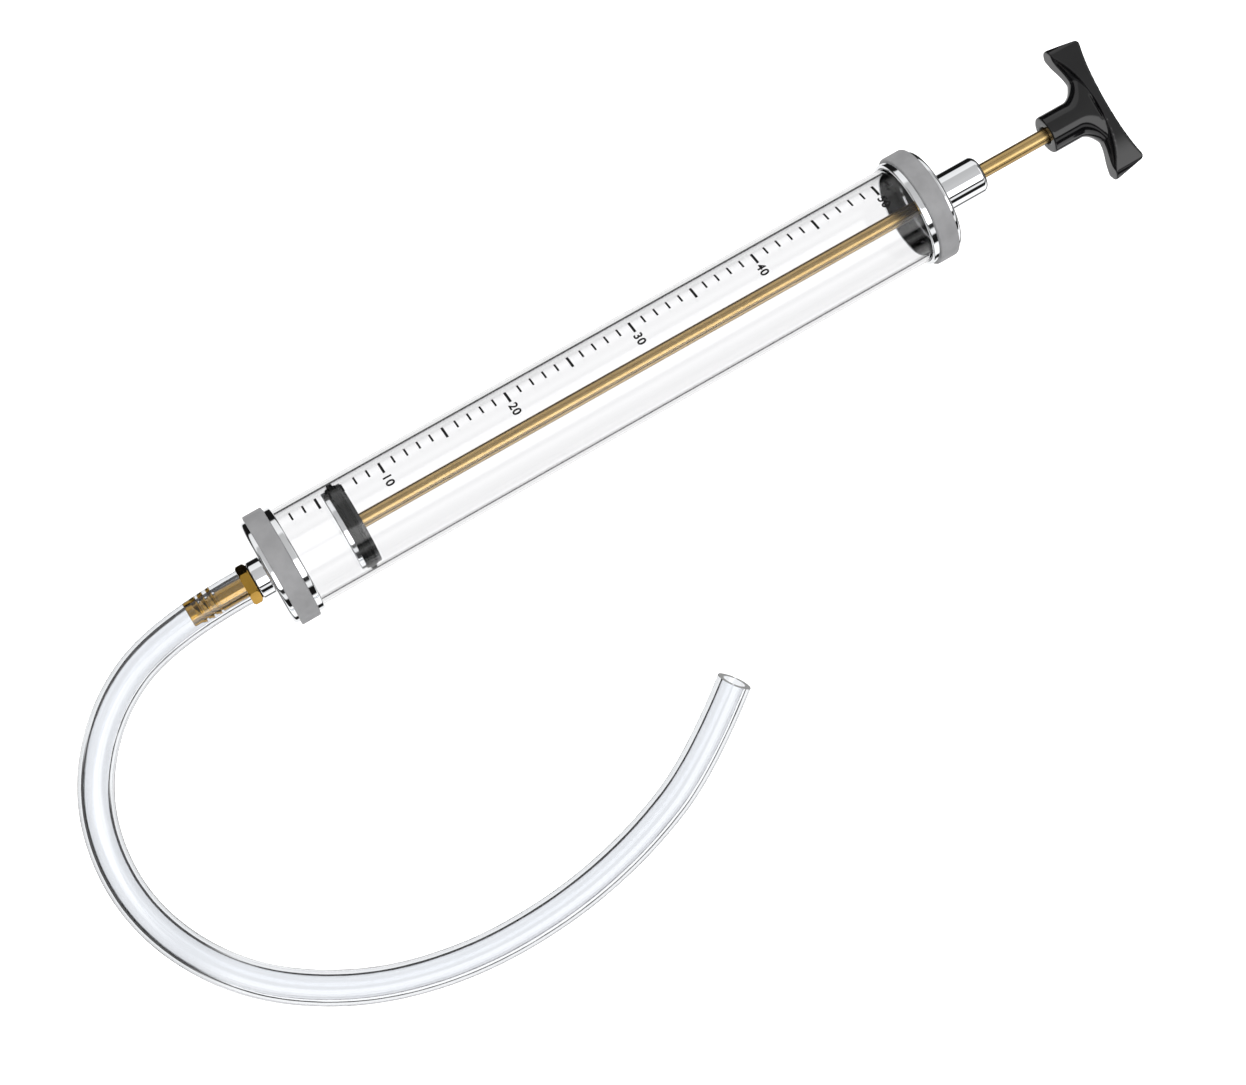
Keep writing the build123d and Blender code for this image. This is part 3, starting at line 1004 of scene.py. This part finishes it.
def make_floor():
    """A pale sheet just under the tool."""
    bm = bmesh.new()
    bmesh.ops.create_grid(bm, x_segments=1, y_segments=1, size=floor_half)
    for v in bm.verts:
        v.co.z = floor_z
    mesh = mesh_from(bm, "floor")
    obj = new_object("floor", mesh)
    mat, tree, shader = start_material("pale_floor")
    set_shader(shader, Roughness=0.9, IOR=1.3, Emission_Color=(1, 1, 1, 1),
               Emission_Strength=0.4)
    noise = stretched_noise(tree, (1, 1, 1), 30.0)
    drive_colour(tree, noise.outputs["Fac"], (0.88, 0.88, 0.88), (0.90, 0.90, 0.90),
                 shader.inputs["Base Color"])
    mesh.materials.append(mat)
    obj.visible_glossy = False
    obj.visible_transmission = False


make_floor()


# %% [markdown]
# ## Studio light
# Polished metal and clear tube show the room, so the room is designed: white panels
# overhead and below, with dark gaps low on every side. Those gaps draw the black lines
# on the chrome and the thin dark edges of the tube. Matt surfaces see plain white.

# %% Studio
plain_white = 1.6        # brightness that the camera and matt surfaces see
# degrees from overhead towards +Y, and brightness
across_panels = [
    (-180, 1.0), (-147, 1.0), (-144, 0.01), (-131, 0.01), (-128, 1.2), (-94, 1.2),
    (-90, 0.01), (-71, 0.01), (-68, 1.0), (-58, 1.0), (-54, 0.03), (-46, 0.03),
    (-43, 2.6), (-10, 2.6), (-3, 0.64), (52, 0.56), (58, 1.0), (92, 0.9),
    (96, 0.01), (140, 0.01), (144, 1.0), (180, 1.0),
]
# degrees from overhead towards either end of the tool, and brightness
along_panels = [
    (0, 0.64), (30, 0.64), (36, 1.1), (52, 1.1), (58, 0.02), (80, 0.02), (86, 0.45),
    (100, 0.45), (106, 0.02), (141, 0.02), (145, 1.0), (180, 1.0),
]
brightest = max(value for _, value in across_panels + along_panels)
# how far a direction must lean to the tool's ends to leave the first pattern, and to
# be wholly in the second; 0 is straight across and 1 straight along
lean_from, lean_to = 0.52, 0.66
no_zero = 0.0001         # keeps the division safe straight overhead


def panel_ramp(tree, angle, start, end, panels):
    """Brightness by angle; two marks close together make a panel's edge."""
    fit = add_node(tree, "ShaderNodeMapRange")
    fit.inputs["From Min"].default_value = math.radians(start)
    fit.inputs["From Max"].default_value = math.radians(end)
    tree.links.new(angle, fit.inputs["Value"])
    ramp = add_node(tree, "ShaderNodeValToRGB")
    marks = ramp.color_ramp.elements
    while len(marks) < len(panels):
        marks.new(0.5)
    for mark, (degrees, value) in zip(marks, panels):
        mark.position = (degrees - start) / (end - start)
        mark.color = (*[value / brightest] * 3, 1)
    tree.links.new(fit.outputs["Result"], ramp.inputs["Fac"])
    return ramp.outputs["Color"]


def build_studio():
    """The world: panels for mirrors and clear pieces, plain white for the rest."""
    world = bpy.data.worlds.new("studio")
    bpy.context.scene.world = world
    world.use_nodes = True
    tree = world.node_tree
    where = add_node(tree, "ShaderNodeTexCoord")
    split = add_node(tree, "ShaderNodeSeparateXYZ")
    tree.links.new(where.outputs["Generated"], split.inputs[0])
    x, y, z = split.outputs

    across = panel_ramp(tree, maths(tree, "ARCTAN2", y, z), -180, 180, across_panels)
    along = panel_ramp(tree, maths(tree, "ARCCOSINE", z), 0, 180, along_panels)
    size_x, size_y = maths(tree, "ABSOLUTE", x), maths(tree, "ABSOLUTE", y)
    size = maths(tree, "ADD", maths(tree, "ADD", size_x, size_y), no_zero)
    blend = add_node(tree, "ShaderNodeMapRange", interpolation_type="SMOOTHSTEP")
    blend.inputs["From Min"].default_value = lean_from
    blend.inputs["From Max"].default_value = lean_to
    tree.links.new(maths(tree, "DIVIDE", size_x, size), blend.inputs["Value"])
    both = add_node(tree, "ShaderNodeMix", data_type="RGBA")
    first, second = (socket for socket in both.inputs if socket.type == "RGBA")
    mixed = next(socket for socket in both.outputs if socket.type == "RGBA")
    tree.links.new(blend.outputs["Result"], both.inputs[0])
    tree.links.new(across, first)
    tree.links.new(along, second)

    room = tree.nodes["Background"]
    tree.links.new(mixed, room.inputs["Color"])
    room.inputs["Strength"].default_value = brightest
    plain = add_node(tree, "ShaderNodeBackground", Strength=plain_white,
                     Color=(1, 1, 1, 1))
    rays = add_node(tree, "ShaderNodeLightPath").outputs
    sharp = maths(tree, "MAXIMUM", rays["Is Glossy Ray"], rays["Is Transmission Ray"])
    seen = either_shader(tree, sharp, plain.outputs[0], room.outputs[0])
    tree.links.new(seen, tree.nodes["World Output"].inputs["Surface"])
    world.cycles.sampling_method = "NONE"


build_studio()
bpy.context.scene.view_settings.view_transform = "Standard"
print("studio ready")
